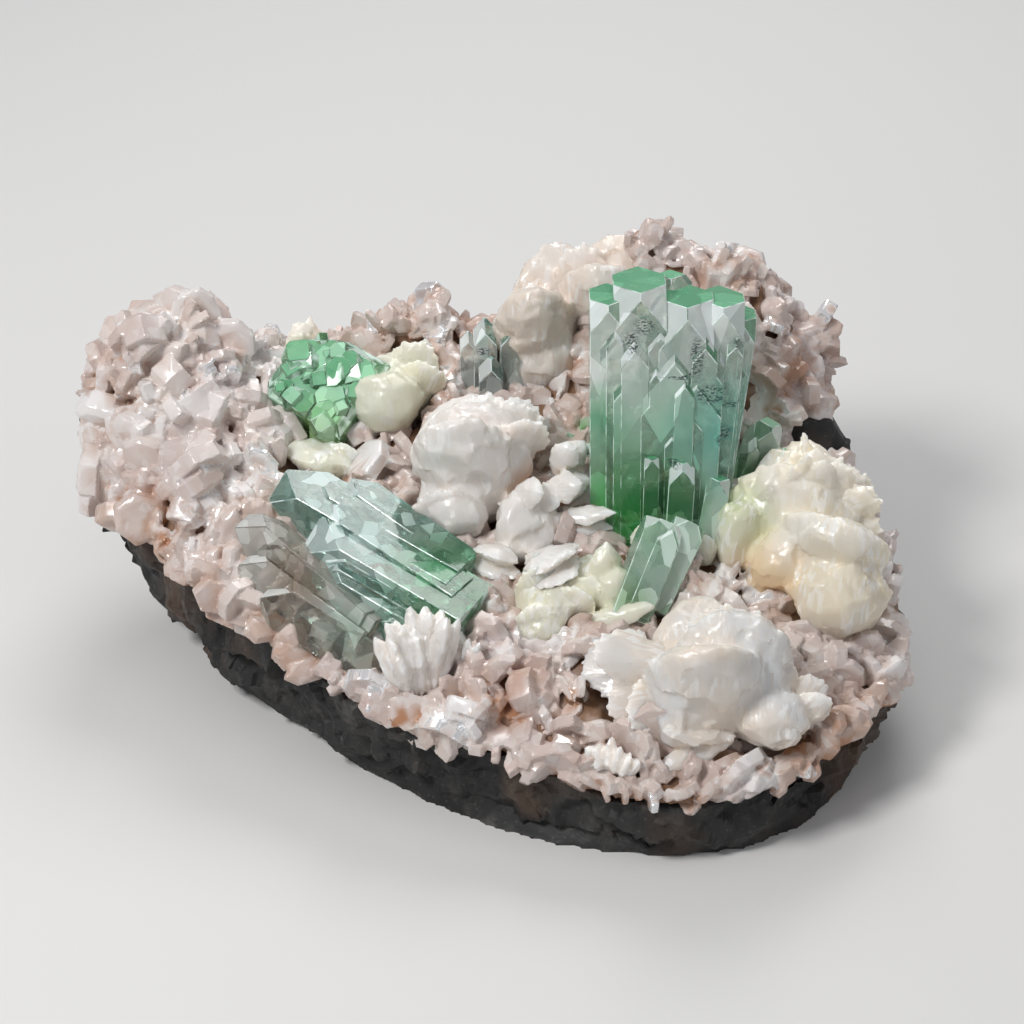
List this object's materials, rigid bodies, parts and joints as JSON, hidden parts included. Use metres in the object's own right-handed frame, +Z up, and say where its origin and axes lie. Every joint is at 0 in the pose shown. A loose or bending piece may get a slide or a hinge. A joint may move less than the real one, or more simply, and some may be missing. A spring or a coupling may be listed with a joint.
{
  "type": "apophyllite mineral specimen",
  "caption": "Cabinet mineral specimen: green prismatic apophyllite on cream stilbite sheaves and a pinkish bladed druse, on dark basalt with a flat sawn base to stand on.",
  "frame": {"origin": "on the flat face that the specimen stands on, 6 mm in front of the plan point that the rock is shaped around", "axes": "+Z up, square to the base; +X to the right along the specimen's longest side, seen from the front; +Y towards the back, where the rock and its crust rise highest"},
  "size_m": [0.1555, 0.1095, 0.0791],
  "materials": {
    "basalt": "dark charcoal, dull, rough broken faces with small glints and rusty stains",
    "druse": "pinkish-mauve glassy blades with orange rust between them",
    "green_apophyllite": "glassy, see-through green, with inner veils and fractures",
    "teal_apophyllite": "glassy, see-through teal-grey, much fractured inside",
    "clear_apophyllite": "glassy and nearly colourless",
    "cream_stilbite": "waxy to pearly cream, milky and a little see-through at its edges",
    "peach_stilbite": "waxy to pearly peach, milky",
    "pearly_stilbite": "pearly white with fine lines along the leaves",
    "green_stilbite": "waxy pale yellow-green, milky"
  },
  "bodies": {
    "root": {"basalt_matrix": "basalt", "druse_crust": "druse", "apophyllite_main": "green_apophyllite", "apophyllite_squat": "green_apophyllite", "apophyllite_front": "green_apophyllite", "apophyllite_side": "green_apophyllite", "apophyllite_reclined": "teal_apophyllite", "apophyllite_row": "clear_apophyllite", "apophyllite_plates": "clear_apophyllite", "stilbite_right": "cream_stilbite", "stilbite_left_back": "cream_stilbite", "stilbite_back": "peach_stilbite", "stilbite_lower_right": "peach_stilbite", "stilbite_central": "pearly_stilbite", "stilbite_white_sheaf": "pearly_stilbite", "stilbite_small_sheaf": "pearly_stilbite", "stilbite_pearly_ball": "pearly_stilbite", "stilbite_plates": "green_stilbite", "stilbite_leaf_left": "green_stilbite", "stilbite_leaf_right": "green_stilbite", "stilbite_behind_squat": "green_stilbite", "stilbite_under_squat": "green_stilbite"}
  },
  "joints": []
}
